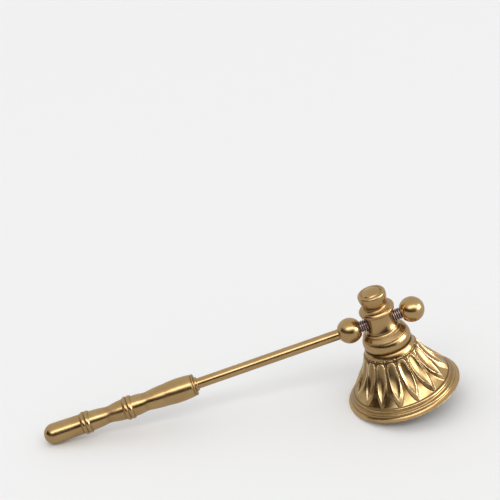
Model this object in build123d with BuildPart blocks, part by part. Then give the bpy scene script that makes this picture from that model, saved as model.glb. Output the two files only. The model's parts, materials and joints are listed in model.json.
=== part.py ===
from build123d import *
import os
from math import asin, atan2, cos, degrees, hypot, pi, sin, sqrt

# A candle snuffer: a bell that swings on a stud between two balls, on a rod with a turned grip.
# It lies on a table at z = 0, on the low edge of the bell's rim and on the grip's domed end.
# +X runs from the grip to the bell, and the origin is below the middle of the whole object.
# All lengths are millimetres.

os.makedirs("parts", exist_ok=True)

# Rod, balls and stud. Their places are measured from the swivel point, where the axes cross.
rod_r = 2.5
rod_in_ball = 4.2
rod_in_grip = 22.0
ball_r = 6.0
inner_ball_back = 15.0
outer_ball_front = 15.3
stud_r = 3.0
stud_in_inner_ball = 4.4
stud_in_outer_ball = 6.6
stud_chamfer = 0.5
swivel_clearance = 0.05
thread_clearance = 0.03

# Grip, from its mouth back to its domed end
grip_mouth_back = 91.4
boss_length = 1.2
boss_r = 3.3
mouth_r = 5.2
mouth_chamfer = 0.4
mouth_band = 1.3
mouth_groove = 0.25
barrel_length = 13.3
barrel_r = 5.65
barrel_peak_share = 0.68
barrel_back_r = 5.3
front_taper = 10.0
front_waist_r = 4.3
front_flare = 6.4
ring_shoulder_r = 4.95
front_bead_r = 5.7
bead_width = 2.1
bead_groove = 0.45
rear_flare = 8.0
rear_waist_r = 3.8
rear_taper = 9.0
rear_shoulder_r = 4.7
rear_bead_r = 5.45
bulb_length = 14.2
bulb_front_r = 4.75
bulb_r = 5.0
flare_bow = 0.18

# Neck, upwards and downwards from the rod's axis
cove_r = 6.45
cove_above = 5.3
cove_top_r = 6.8
cove_throat = 1.2
cove_below = 3.1
cove_foot_r = 7.5
foot_step = 1.5
foot_step_r = 8.6
foot_step_bow = 0.2
foot_ridge = 0.25
foot_slope = 1.8
foot_r = 10.5
foot_edge = 0.5
flange_thick = 2.2
flange_r = 8.4
flange_lip_r = 8.1
flange_top_r = 7.8
flange_ridge = 0.3
waist_rise = 1.7
waist_r = 5.5
knob_taper = 4.0
knob_taper_bow = 0.1
knob_r = 6.65
knob_side = 1.3
knob_round = 1.2
knob_groove_r = 5.0
knob_groove = 0.2
knob_dome = 0.6
spigot_r = 3.0
spigot_chamfer = 0.5
spigot_end = 1.5

# Collar ring between the neck's foot and the bell
ring_height = 5.8
ring_r = 11.5
ring_top_r = 10.55
ring_foot_r = 10.6
ring_lip = 0.3

# Bell, downwards from the ring
crown_ledge = 0.3
crown_thick = 2.6
shoulder_height = 3.3
shoulder_r = 12.4
shoulder_bulge_share = 0.6
flank_height = 18.0
flank_mid_down_share = 0.48
flank_mid_out_share = 0.37
skirt_width = 4.7
quirk_height = 0.4
quirk_width = 0.4
upper_bead_height = 1.1
upper_bead_width = 1.0
channel_height = 1.1
channel_width = 0.8
lower_bead_height = 1.1
lower_bead_width = 0.65
rim_bead_bow = 0.3
lip_height = 1.8
lip_flare = 0.3
rim_r = 27.2
rim_edge = 0.4
rim_wall = 2.4
bell_wall = 1.8

# Leaves round the bell's flank, and the round hollow along each of them. Their half widths are
# shares of half the pitch round the bell.
leaf_count = 16
leaf_rise = 0.55
leaf_root = 0.6
leaf_margin = 0.15
leaf_top_half_share = 0.87
leaf_half_share = 0.8
leaf_wide_down_share = 0.69
leaf_ogive_down_share = 0.62
leaf_ogive_width_share = 0.74
leaf_bevel = 0.2
hollow_r = 5.0
hollow_start = 2.3
hollow_length = 13.5
hollow_start_depth = 0.3
hollow_depth = 0.5
hollow_deepest_share = 0.55

# Washer and nut inside the bell
washer_r = 6.0
washer_thick = 1.6
nut_across_flats = 10.0
nut_height = 5.0
nut_chamfer = 0.6

# Heights along the bell's axis, measured up from the rod's axis
foot_height = -(cove_below + foot_step + foot_slope + foot_edge)
seat_height = foot_height - ring_height
shoulder_end = seat_height - shoulder_height
skirt_end = shoulder_end - flank_height
quirk_end = skirt_end - quirk_height
upper_bead_end = quirk_end - upper_bead_height
channel_end = upper_bead_end - channel_height
lower_bead_end = channel_end - lower_bead_height
rim_height = lower_bead_end - lip_height
ceiling = seat_height - crown_thick
washer_under = ceiling - washer_thick
nut_under = washer_under - nut_height
spigot_tip = nut_under - spigot_end
flange_top = cove_above + flange_thick
waist_height = flange_top + waist_rise
knob_under = waist_height + knob_taper
knob_top = knob_under + knob_side + knob_round
knob_crown = knob_top + knob_dome

# Distances back from the swivel point along the grip, and its radii at the rim of the bell
barrel_back = grip_mouth_back + mouth_band + barrel_length
front_waist_back = barrel_back + front_taper
front_ring_back = front_waist_back + front_flare
front_ring_end = front_ring_back + 2 * bead_width
rear_waist_back = front_ring_end + rear_flare
rear_ring_back = rear_waist_back + rear_taper
rear_ring_end = rear_ring_back + 2 * bead_width
bulb_centre_back = rear_ring_end + bulb_length
skirt_r = rim_r - skirt_width
quirk_r = skirt_r + quirk_width
upper_bead_r = quirk_r + upper_bead_width
channel_r = upper_bead_r + channel_width
lower_bead_r = channel_r + lower_bead_width

# The tilt at which the rim's rounded edge and the grip's domed end both touch the table
edge_r = rim_r - rim_edge
edge_drop = -rim_height - rim_edge
reach = bulb_centre_back - edge_r
tilt = atan2(edge_drop, reach) - asin((bulb_r - rim_edge) / hypot(edge_drop, reach))
swivel_z = edge_drop * cos(tilt) + edge_r * sin(tilt) + rim_edge
back_reach = bulb_centre_back * cos(tilt) + bulb_r
front_reach = edge_r * cos(tilt) + edge_drop * sin(tilt) + rim_edge
swivel_x = (back_reach - front_reach) / 2

swivel = (swivel_x, 0, swivel_z)
rod_direction = (cos(tilt), 0, sin(tilt))
bell_direction = (-sin(tilt), 0, cos(tilt))

# The side plane holds every turned outline: its X runs along the rod, its Y up the bell's axis.
side = Plane(origin=swivel, x_dir=rod_direction, z_dir=(0, -1, 0))
rod_axis = Axis(swivel, rod_direction)
bell_axis = Axis(swivel, bell_direction)


def bell_plane(height):
    """The plane across the bell's axis at a height above the rod's axis."""
    return Plane(origin=side.from_local_coords((0, height)), x_dir=rod_direction, z_dir=bell_direction)


def rod_plane(distance):
    """The plane across the rod at a distance in front of the swivel point."""
    return Plane(origin=side.from_local_coords((distance, 0)), z_dir=rod_direction)


def two_beads(back, front_r, bead_r, back_r):
    """The outline of a ring of two beads, from its front edge backwards."""
    groove = (-back - bead_width, bead_r - bead_groove)
    ThreePointArc((-back, front_r), (-back - bead_width / 2, bead_r), groove)
    end = (-back - 2 * bead_width, back_r)
    ThreePointArc(groove, (-back - 3 * bead_width / 2, bead_r), end)


# Rod
rod_back = grip_mouth_back + rod_in_grip
rod_front = inner_ball_back + ball_r - rod_in_ball
with BuildPart() as rod:
    with BuildSketch(rod_plane(-rod_back)):
        Circle(rod_r)
    extrude(amount=rod_back - rod_front)

rod.part.label = "rod"
export_step(rod.part, "parts/rod.step")

# Grip: boss, mouth band with its groove, barrel, two waists between two rings, and the bulb
mouth = -grip_mouth_back
barrel_front = mouth - mouth_band
with BuildPart() as grip:
    with BuildSketch(side):
        with BuildLine():
            Polyline(
                (mouth + boss_length, 0),
                (mouth + boss_length, boss_r),
                (mouth, boss_r),
                (mouth, mouth_r - mouth_chamfer),
                (mouth - mouth_chamfer, mouth_r),
                (barrel_front + 2 * mouth_groove, mouth_r),
                (barrel_front + mouth_groove, mouth_r - mouth_groove),
                (barrel_front, mouth_r),
            )
            ThreePointArc(
                (barrel_front, mouth_r),
                (barrel_front - barrel_peak_share * barrel_length, barrel_r),
                (-barrel_back, barrel_back_r),
            )
            SagittaArc((-barrel_back, barrel_back_r), (-front_waist_back, front_waist_r), -flare_bow)
            SagittaArc((-front_waist_back, front_waist_r), (-front_ring_back, ring_shoulder_r), -flare_bow)
            two_beads(front_ring_back, ring_shoulder_r, front_bead_r, ring_shoulder_r)
            SagittaArc((-front_ring_end, ring_shoulder_r), (-rear_waist_back, rear_waist_r), -flare_bow)
            SagittaArc((-rear_waist_back, rear_waist_r), (-rear_ring_back, rear_shoulder_r), -flare_bow)
            two_beads(rear_ring_back, rear_shoulder_r, rear_bead_r, bulb_front_r)
            Spline(
                (-rear_ring_end, bulb_front_r),
                (-bulb_centre_back, bulb_r),
                tangents=[(-1, 0), (-1, 0)],
            )
            RadiusArc((-bulb_centre_back, bulb_r), (-bulb_centre_back - bulb_r, 0), -bulb_r)
            Line((-bulb_centre_back - bulb_r, 0), (mouth + boss_length, 0))
        make_face()
    revolve(axis=rod_axis)
    with BuildSketch(rod_plane(-rod_back)):
        Circle(rod_r + thread_clearance)
    extrude(amount=rod_in_grip + boss_length, mode=Mode.SUBTRACT)

grip.part.label = "grip"
export_step(grip.part, "parts/grip.step")

# Inner ball: the rod's socket at its back, the stud's at its front
with BuildPart(rod_plane(-inner_ball_back)) as inner_ball:
    Sphere(ball_r)
    with BuildSketch(rod_plane(-inner_ball_back - ball_r)):
        Circle(rod_r + thread_clearance)
    extrude(amount=rod_in_ball, mode=Mode.SUBTRACT)
    with BuildSketch(rod_plane(-inner_ball_back + ball_r)):
        Circle(stud_r + thread_clearance)
    extrude(amount=-stud_in_inner_ball, mode=Mode.SUBTRACT)

inner_ball.part.label = "inner_ball"
export_step(inner_ball.part, "parts/inner_ball.step")

# Outer ball: one blind socket for the stud
with BuildPart(rod_plane(outer_ball_front)) as outer_ball:
    Sphere(ball_r)
    with BuildSketch(rod_plane(outer_ball_front - ball_r)):
        Circle(stud_r + thread_clearance)
    extrude(amount=stud_in_outer_ball, mode=Mode.SUBTRACT)

outer_ball.part.label = "outer_ball"
export_step(outer_ball.part, "parts/outer_ball.step")

# Swivel stud, from the bottom of one socket to the bottom of the other
stud_back = inner_ball_back - ball_r + stud_in_inner_ball
stud_front = outer_ball_front - ball_r + stud_in_outer_ball
with BuildPart() as swivel_stud:
    with BuildSketch(rod_plane(-stud_back)):
        Circle(stud_r)
    extrude(amount=stud_back + stud_front)
    chamfer(swivel_stud.edges().filter_by(GeomType.CIRCLE), length=stud_chamfer)

swivel_stud.part.label = "swivel_stud"
export_step(swivel_stud.part, "parts/swivel_stud.step")

# Neck: spigot, foot with two fine steps, cove with the cross bore, flange, waist and knob
step_height = -(cove_below + foot_step)
slope_end = step_height - foot_slope
with BuildPart() as neck:
    with BuildSketch(side):
        with BuildLine():
            Polyline(
                (0, spigot_tip),
                (spigot_r - spigot_chamfer, spigot_tip),
                (spigot_r, spigot_tip + spigot_chamfer),
                (spigot_r, foot_height),
                (foot_r, foot_height),
                (foot_r, slope_end),
                (foot_step_r, step_height - foot_ridge),
                (foot_step_r, step_height),
            )
            SagittaArc(
                (foot_step_r, step_height),
                (cove_foot_r, -cove_below - foot_ridge),
                foot_step_bow,
            )
            Line((cove_foot_r, -cove_below - foot_ridge), (cove_foot_r, -cove_below))
            ThreePointArc(
                (cove_foot_r, -cove_below),
                (cove_r, cove_throat),
                (cove_top_r, cove_above),
            )
            Line((cove_top_r, cove_above), (flange_lip_r, cove_above))
            ThreePointArc(
                (flange_lip_r, cove_above),
                (flange_r, cove_above + flange_thick / 2),
                (flange_top_r, flange_top),
            )
            Line((flange_top_r, flange_top), (flange_top_r - flange_ridge, flange_top))
            Spline(
                (flange_top_r - flange_ridge, flange_top),
                (waist_r, waist_height),
                tangents=[(-1, 0), (0, 1)],
            )
            SagittaArc((waist_r, waist_height), (knob_r, knob_under), -knob_taper_bow)
            Line((knob_r, knob_under), (knob_r, knob_under + knob_side))
            RadiusArc(
                (knob_r, knob_under + knob_side),
                (knob_r - knob_round, knob_top),
                -knob_round,
            )
            Polyline(
                (knob_r - knob_round, knob_top),
                (knob_groove_r + knob_groove, knob_top),
                (knob_groove_r, knob_top - knob_groove),
                (knob_groove_r - knob_groove, knob_top),
            )
            Spline(
                (knob_groove_r - knob_groove, knob_top),
                (0, knob_crown),
                tangents=[(-1, 1), (-1, 0)],
            )
            Line((0, knob_crown), (0, spigot_tip))
        make_face()
    revolve(axis=bell_axis)
    with BuildSketch(rod_plane(-cove_foot_r)):
        Circle(stud_r + swivel_clearance)
    extrude(amount=2 * cove_foot_r, mode=Mode.SUBTRACT)

neck.part.label = "neck"
export_step(neck.part, "parts/neck.step")

# Collar ring on the spigot
with BuildPart() as collar_ring:
    with BuildSketch(side):
        with BuildLine():
            Polyline(
                (ring_foot_r, seat_height),
                (spigot_r + thread_clearance, seat_height),
                (spigot_r + thread_clearance, foot_height),
                (ring_top_r, foot_height),
                (ring_top_r, foot_height - ring_lip),
            )
            ThreePointArc(
                (ring_top_r, foot_height - ring_lip),
                (ring_r, (foot_height - ring_lip + seat_height) / 2),
                (ring_foot_r, seat_height),
            )
        make_face()
    revolve(axis=bell_axis)

collar_ring.part.label = "collar_ring"
export_step(collar_ring.part, "parts/collar_ring.step")

# Flank of the bell, and the crests of the leaves in front of it
flank_mid_r = shoulder_r + flank_mid_out_share * (skirt_r - shoulder_r)
flank_mid = shoulder_end - flank_mid_down_share * flank_height
with BuildLine() as crest:
    ThreePointArc(
        (shoulder_r + leaf_rise, shoulder_end),
        (flank_mid_r + leaf_rise, flank_mid),
        (skirt_r + leaf_rise, skirt_end),
    )

crest_centre = crest.edge().arc_center


def before_crest(height, out):
    """The point that lies a distance in front of the crests, square to them, at a height."""
    across = sqrt(crest.edge().radius ** 2 - (crest_centre.Y - height) ** 2)
    towards = Vector(across, crest_centre.Y - height).normalized()
    return Vector(crest_centre.X - across, height) + towards * out


# One leaf, in the bell's own frame: X out through the leaf, Z up the bell's axis
leaf_top = shoulder_end - leaf_margin
leaf_tip = skirt_end + leaf_margin
leaf_length = leaf_top - leaf_tip
leaf_wide = leaf_top - leaf_wide_down_share * leaf_length
leaf_ogive = leaf_wide - leaf_ogive_down_share * (leaf_wide - leaf_tip)
half_pitch = pi / leaf_count
leaf_top_half = leaf_top_half_share * shoulder_r * sin(half_pitch)
leaf_half = leaf_half_share * before_crest(leaf_wide, 0).X * sin(half_pitch)
with BuildPart() as leaf:
    with BuildSketch(Plane.XZ):
        with BuildLine():
            add(crest.edge())
            Line((skirt_r + leaf_rise, skirt_end), (skirt_r - leaf_root, skirt_end))
            ThreePointArc(
                (skirt_r - leaf_root, skirt_end),
                (flank_mid_r - leaf_root, flank_mid),
                (shoulder_r - leaf_root, shoulder_end),
            )
            Line((shoulder_r - leaf_root, shoulder_end), (shoulder_r + leaf_rise, shoulder_end))
        make_face()
    revolve(axis=Axis.Z)
    with BuildSketch(Plane.YZ):
        with BuildLine():
            ThreePointArc(
                (-leaf_top_half, leaf_top - leaf_top_half),
                (0, leaf_top),
                (leaf_top_half, leaf_top - leaf_top_half),
            )
            Line((leaf_top_half, leaf_top - leaf_top_half), (leaf_half, leaf_wide))
            ThreePointArc(
                (leaf_half, leaf_wide),
                (leaf_ogive_width_share * leaf_half, leaf_ogive),
                (0, leaf_tip),
            )
            mirror(about=Plane.YZ)
        make_face()
    extrude(amount=rim_r, mode=Mode.INTERSECT)
    crest_face = leaf.faces().filter_by(GeomType.TORUS).sort_by(Axis.X)[-1]
    chamfer(crest_face.edges(), length=leaf_bevel)

# The cutter of one leaf's hollow: a round end above, and a tube that leaves the crests below
with BuildPart() as hollow:
    with BuildLine(Plane.XZ) as hollow_path:
        ThreePointArc(
            before_crest(leaf_top - hollow_start, hollow_r - hollow_start_depth),
            before_crest(
                leaf_top - hollow_start - hollow_deepest_share * hollow_length,
                hollow_r - hollow_depth,
            ),
            before_crest(leaf_top - hollow_start - hollow_length, hollow_r),
        )
    with BuildSketch(Plane(origin=hollow_path.line @ 0, z_dir=hollow_path.line % 0)):
        Circle(hollow_r)
    sweep()
    with Locations(hollow_path.line @ 0):
        Sphere(hollow_r)

# Bell: crown, round shoulder, flaring flank with its leaves, quirk, two beads and flared lip
crown_r = ring_foot_r + crown_ledge
with BuildPart(bell_plane(0)) as bell:
    with BuildSketch(side):
        with BuildLine():
            Line((0, seat_height), (crown_r, seat_height))
            ThreePointArc(
                (crown_r, seat_height),
                (
                    crown_r + shoulder_bulge_share * (shoulder_r - crown_r),
                    seat_height - (1 - shoulder_bulge_share) * shoulder_height,
                ),
                (shoulder_r, shoulder_end),
            )
            ThreePointArc((shoulder_r, shoulder_end), (flank_mid_r, flank_mid), (skirt_r, skirt_end))
            Line((skirt_r, skirt_end), (quirk_r, quirk_end))
            SagittaArc((quirk_r, quirk_end), (upper_bead_r, upper_bead_end), rim_bead_bow)
            SagittaArc((upper_bead_r, upper_bead_end), (channel_r, channel_end), -rim_bead_bow)
            SagittaArc((channel_r, channel_end), (lower_bead_r, lower_bead_end), rim_bead_bow)
            SagittaArc((lower_bead_r, lower_bead_end), (rim_r, rim_height + rim_edge), -lip_flare)
            RadiusArc((rim_r, rim_height + rim_edge), (rim_r - rim_edge, rim_height), rim_edge)
            Polyline(
                (rim_r - rim_edge, rim_height),
                (rim_r - rim_wall, rim_height),
                (skirt_r - bell_wall, skirt_end),
            )
            ThreePointArc(
                (skirt_r - bell_wall, skirt_end),
                (flank_mid_r - bell_wall, flank_mid),
                (shoulder_r - bell_wall, shoulder_end),
            )
            Polyline(
                (shoulder_r - bell_wall, shoulder_end),
                (shoulder_r - bell_wall, ceiling),
                (0, ceiling),
                (0, seat_height),
            )
        make_face()
    revolve(axis=bell_axis)
    with BuildSketch(bell_plane(ceiling)):
        Circle(spigot_r + thread_clearance)
    extrude(amount=crown_thick, mode=Mode.SUBTRACT)
    with PolarLocations(0, leaf_count, start_angle=degrees(half_pitch)):
        add(leaf.part)
        add(hollow.part, mode=Mode.SUBTRACT)

bell.part.label = "bell"
export_step(bell.part, "parts/bell.step")

# Washer against the bell's ceiling
with BuildPart() as bell_washer:
    with BuildSketch(bell_plane(washer_under)):
        Circle(washer_r)
        Circle(spigot_r + thread_clearance, mode=Mode.SUBTRACT)
    extrude(amount=washer_thick)

bell_washer.part.label = "bell_washer"
export_step(bell_washer.part, "parts/bell_washer.step")

# Nut under the washer: a hexagon whose lower corners are turned off by a cone
nut_corner_r = nut_across_flats / (2 * cos(pi / 6))
with BuildPart() as bell_nut:
    with BuildSketch(bell_plane(nut_under)):
        RegularPolygon(radius=nut_across_flats / 2, side_count=6, major_radius=False)
        Circle(spigot_r + thread_clearance, mode=Mode.SUBTRACT)
    extrude(amount=nut_height)
    with BuildSketch(side):
        with BuildLine():
            Polyline(
                (0, nut_under),
                (nut_corner_r - nut_chamfer, nut_under),
                (nut_corner_r + nut_chamfer, nut_under + nut_chamfer),
                (nut_corner_r + nut_chamfer, washer_under),
                (0, washer_under),
                close=True,
            )
        make_face()
    revolve(axis=bell_axis, mode=Mode.INTERSECT)

bell_nut.part.label = "bell_nut"
export_step(bell_nut.part, "parts/bell_nut.step")
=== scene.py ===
import json
from math import atan2, pi

import bmesh
import bpy
import numpy as np
from mathutils import Matrix, Vector


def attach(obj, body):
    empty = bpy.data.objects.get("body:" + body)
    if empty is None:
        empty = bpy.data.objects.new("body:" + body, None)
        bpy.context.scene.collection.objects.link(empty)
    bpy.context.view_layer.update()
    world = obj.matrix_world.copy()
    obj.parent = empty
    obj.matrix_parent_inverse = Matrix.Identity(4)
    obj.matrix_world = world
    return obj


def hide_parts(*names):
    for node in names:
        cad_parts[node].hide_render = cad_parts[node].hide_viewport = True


# Candle snuffer: turned brass grip, rod and balls, and a cast bell that swings on a threaded stud.
# Lengths in the dictionaries are millimetres, light and colour are linear, and angles are degrees
# where no note says radians.

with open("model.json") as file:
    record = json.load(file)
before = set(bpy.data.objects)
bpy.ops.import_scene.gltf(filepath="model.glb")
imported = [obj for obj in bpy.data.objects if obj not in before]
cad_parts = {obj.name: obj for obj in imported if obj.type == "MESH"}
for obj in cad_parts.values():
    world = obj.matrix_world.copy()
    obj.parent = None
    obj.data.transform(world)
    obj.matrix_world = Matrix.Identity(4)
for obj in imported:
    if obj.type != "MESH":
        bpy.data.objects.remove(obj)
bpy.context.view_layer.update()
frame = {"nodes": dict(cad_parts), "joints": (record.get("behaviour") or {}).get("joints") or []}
mm = 0.001

swing = next(joint for joint in frame["joints"] if joint["name"] == "bell_swing")
swivel = np.array(swing["pos_m"])
rodWay = np.array(swing["axis"]) / np.linalg.norm(swing["axis"])
front = np.array([0.0, -1.0, 0.0])
bellWay = np.cross(rodWay, front)
bellWay *= np.sign(bellWay[2])
print("frame loaded:", len(frame["nodes"]), "nodes, swivel at", np.round(swivel / mm, 2), "mm")


# Outlines: lists of (distance along the axis, radius). Their stretches are points and curves, with
# straight lines between them.

fineStep = 0.03  # the step at which an outline is walked before it is smoothed
samePoint = 1e-7  # points that are closer than this are one
diagonal = 0.7071  # the cosine of 45 degrees


def bow(start, through, end, count=48):
    # The circle through three points, from the first to the last past the middle one. Each side
    # from the first point, times twice the way to the centre, is that side's square.
    a, b, c = (np.array(p, float) for p in (start, through, end))
    sides = np.array([b - a, c - a])
    centre = a + np.linalg.solve(2 * sides, (sides ** 2).sum(1))
    turns = np.unwrap([atan2(*(p - centre)[::-1]) for p in (a, b, c)])
    t = np.linspace(turns[0], turns[2], count)
    return centre + np.linalg.norm(a - centre) * np.column_stack([np.cos(t), np.sin(t)])


def sagged(start, end, sag):
    # An arc whose middle lies sag off the straight line, towards the axis for a positive sag
    start, end = np.array(start, float), np.array(end, float)
    way = (end - start) / np.linalg.norm(end - start)
    off = np.array([way[1], -way[0]]) * np.sign(way[0])
    return bow(start, (start + end) / 2 + off * sag, end)


def quarter(start, centre, end):
    # A quarter of a circle round a centre
    start, centre, end = (np.array(p, float) for p in (start, centre, end))
    return bow(start, centre + diagonal * (start - centre + end - centre), end)


def sweepCurve(start, startPull, end, endPull, count=48):
    # A cubic between two ends, each with its own pull
    t = np.linspace(0, 1, count)[:, None]
    p, q, u, v = (np.array(x, float) for x in (start, end, startPull, endPull))
    return (
        (2 * t ** 3 - 3 * t ** 2 + 1) * p + (t ** 3 - 2 * t ** 2 + t) * u
        + (3 * t ** 2 - 2 * t ** 3) * q + (t ** 3 - t ** 2) * v
    )


def walked(outline, count, closed, weight=0.0):
    # Points at equal steps of the running length, where a bend counts as extra length
    loop = np.vstack([outline, outline[:1]]) if closed else outline
    loop = loop[np.r_[True, np.hypot(*np.diff(loop, axis=0).T) > samePoint]]
    steps = np.diff(loop, axis=0)
    bends = np.abs(np.gradient(np.unwrap(np.arctan2(steps[:, 1], steps[:, 0]))))
    run = np.r_[0, np.cumsum(np.hypot(*steps.T) + weight * bends)]
    where = np.linspace(0, run[-1], count + 1 if closed else count)
    where = where[:-1] if closed else where
    return np.column_stack([np.interp(where, run, loop[:, k]) for k in (0, 1)])


def fineWalk(stretches, closed=False):
    # Joins the stretches and walks them in small equal steps
    outline = np.vstack(stretches)
    length = np.hypot(*np.diff(outline, axis=0).T).sum()
    return walked(outline, int(length / fineStep), closed)


def averaged(padded, reach, soft):
    # Each point averaged with those up to reach away, by a bell curve of width soft
    kernel = np.exp(-0.5 * (np.arange(-reach, reach + 1) * fineStep / soft) ** 2)
    kernel /= kernel.sum()
    return np.column_stack([np.convolve(padded[:, k], kernel, "valid") for k in (0, 1)])


def polished(stretches, soft=0.12, rows=160, closed=False, weight=1.2):
    # Rounds the edges, as polishing does, and picks the rows. An open outline ends on the axis,
    # and goes on past it as its own mirror image.
    fine = fineWalk(stretches, closed)
    reach = int(4 * soft / fineStep)  # the bell curve ends four widths away
    if closed:
        padded = np.vstack([fine[-reach:], fine, fine[:reach]])
    else:
        padded = np.vstack([fine[reach:0:-1] * [1, -1], fine, fine[-2:-reach - 2:-1] * [1, -1]])
    return walked(averaged(padded, reach, soft), rows, closed, weight)


def eased(stretches, soft=0.8):
    # Rounds the corners between the stretches, with both ends kept
    fine = fineWalk(stretches)
    reach = int(3 * soft / fineStep)  # and here three
    before, after = fine[reach:0:-1], fine[-2:-reach - 2:-1]
    return averaged(np.vstack([2 * fine[0] - before, fine, 2 * fine[-1] - after]), reach, soft)


def recessOf(outline, closed, reach=7, least=0.02, full=0.25):
    # How far a row lies inside the average of its neighbours, from 0 to 1
    radius = outline[:, 1]
    if closed:
        padded = np.r_[radius[-reach:], radius, radius[:reach]]
    else:
        padded = np.r_[-radius[reach:0:-1], radius, -radius[-2:-reach - 2:-1]]
    kernel = np.ones(2 * reach + 1) / (2 * reach + 1)
    return np.clip((np.convolve(padded, kernel, "valid") - radius - least) / full, 0, 1)


def softStep(value):
    # From 0 to 1 with a soft start and end: the square of the value, times 3 less twice the value
    value = np.clip(value, 0, 1)
    return value * value * (3 - 2 * value)


def ramp(value, start, over):
    # A soft step that begins at start and takes a length, negative where it runs downwards
    return softStep((value - start) / over)


# Surfaces: grids of points, one row along the outline and one column round the axis

def fullTurn(columns):
    return np.linspace(0, 2 * pi, columns, endpoint=False)


def roundGrid(distance, radius, angles, along):
    # A point is swivel + distance * along + radius * (cos(angle) * front + sin(angle) * across)
    across = np.cross(along, front)
    spoke = np.cos(angles)[..., None] * front + np.sin(angles)[..., None] * across
    return swivel + mm * (distance[..., None] * along + radius[..., None] * spoke)


def gridFaces(rows, columns, closedRows):
    # Each face joins a point, the next in its row, and the same two in the next row
    row = np.arange(rows if closedRows else rows - 1)[:, None]
    column = np.arange(columns)[None, :]
    nextRow, nextColumn = (row + 1) % rows, (column + 1) % columns
    corners = [row * columns + column, row * columns + nextColumn,
               nextRow * columns + nextColumn, nextRow * columns + column]
    return np.stack([np.broadcast_to(c, (len(row), columns)) for c in corners], -1).reshape(-1, 4)


def poleFaces(start, columns, pole):
    # Triangles from a ring of points to one point on the axis
    ring = start + np.arange(columns)
    return np.column_stack([ring, np.roll(ring, -1), np.full(columns, pole)])


def isOutward(points, triangles):
    # The volume is the sum of each triangle's corners' triple product over six
    a, b, c = (points[triangles[:, k]] for k in range(3))
    return (a * np.cross(b, c)).sum() > 0


def smoothMesh(name, points, faces, values):
    # A mesh with smooth shading, and with named values at its points
    mesh = bpy.data.meshes.new(name)
    mesh.from_pydata(points.tolist(), [], faces)
    for key, value in values.items():
        layer = mesh.attributes.new(key, "FLOAT", "POINT").data
        layer.foreach_set("value", value.astype(np.float32))
    mesh.polygons.foreach_set("use_smooth", np.ones(len(mesh.polygons), bool))
    mesh.update()
    return mesh


def buildMesh(name, grid, closedRows, values):
    # Grid to mesh. An open outline starts and ends on the axis, so each of its end rows becomes
    # one point.
    rows, columns = grid.shape[:2]
    if closedRows:
        points = grid.reshape(-1, 3)
        quads, fans = gridFaces(rows, columns, True), np.zeros((0, 3), int)
        kept = {key: value.reshape(-1) for key, value in values.items()}
    else:
        count = (rows - 2) * columns
        points = np.vstack([grid[1:-1].reshape(-1, 3), grid[:1, 0], grid[-1:, 0]])
        quads = gridFaces(rows - 2, columns, False)
        fans = np.vstack([
            poleFaces(0, columns, count)[:, ::-1],
            poleFaces(count - columns, columns, count + 1),
        ])
        kept = {
            key: np.r_[value[1:-1].reshape(-1), value[0, 0], value[-1, 0]]
            for key, value in values.items()
        }
    triangles = np.vstack([quads[:, :3], quads[:, [0, 2, 3]], fans])
    if not isOutward(points - points.mean(0), triangles):
        quads, fans = quads[:, ::-1], fans[:, ::-1]
    mesh = smoothMesh(name, points, quads.tolist() + fans.tolist(), kept)
    piece = bpy.data.objects.new(name, mesh)
    bpy.context.scene.collection.objects.link(piece)
    return piece


def turned(name, outline, columns, along, closed=False, shadeAndGrime=(), spread=1.5):
    # A piece turned about an axis through the swivel point. Each shade band is a distance at which
    # the piece is painted dark as shade, with some grime, how far it reaches and how much it is.
    # It ends at spread times its reach.
    shape = (len(outline), columns)
    grid = roundGrid(outline[:, :1], outline[:, 1:], fullTurn(columns), along)
    recess = recessOf(outline, closed)
    for place, reach, much in shadeAndGrime:
        shadeAndDirt = np.clip(spread - np.abs(outline[:, 0] - place) / reach, 0, 1)
        recess = np.maximum(recess, much * shadeAndDirt)
    values = {
        "along": np.broadcast_to(outline[:, :1], shape),
        "recess": np.broadcast_to(recess[:, None], shape),
    }
    return buildMesh(name, grid, closed, values)


# Materials

def newNode(tree, kind, **settings):
    made = tree.nodes.new(kind)
    for key, value in settings.items():
        if key in made.inputs:
            made.inputs[key].default_value = value
        else:
            setattr(made, key, value)
    return made


def attributeOf(tree, name):
    # A value that the mesh holds at its points
    return newNode(tree, "ShaderNodeAttribute", attribute_name=name).outputs["Fac"]


def mixed(tree, first, second, factor):
    # A colour between two, by a factor from another node
    mix = newNode(tree, "ShaderNodeMix", data_type="RGBA")
    for socket, value in (("A", first), ("B", second)):
        target = next(s for s in mix.inputs if s.name == socket and s.type == "RGBA")
        if isinstance(value, bpy.types.NodeSocket):
            tree.links.new(value, target)
        else:
            target.default_value = (*value, 1)
    tree.links.new(factor, mix.inputs["Factor"])
    return next(s for s in mix.outputs if s.type == "RGBA")


def ranged(tree, value, low, high, fromLow=0.0, fromHigh=1.0):
    # Maps a value from one range to another
    ends = {"From Min": fromLow, "From Max": fromHigh, "To Min": low, "To Max": high}
    made = newNode(tree, "ShaderNodeMapRange", **ends)
    tree.links.new(value, made.inputs["Value"])
    return made.outputs["Result"]


def summed(tree, first, second):
    # The sum of two values, cut off at 1
    made = newNode(tree, "ShaderNodeMath", operation="ADD", use_clamp=True)
    tree.links.new(first, made.inputs[0])
    tree.links.new(second, made.inputs[1])
    return made.outputs["Value"]


def noiseOf(tree, coordinates, scale, detail, rough):
    made = newNode(tree, "ShaderNodeTexNoise", Scale=scale, Detail=detail, Roughness=rough)
    tree.links.new(coordinates, made.inputs["Vector"])
    return made.outputs["Fac"]


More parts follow.
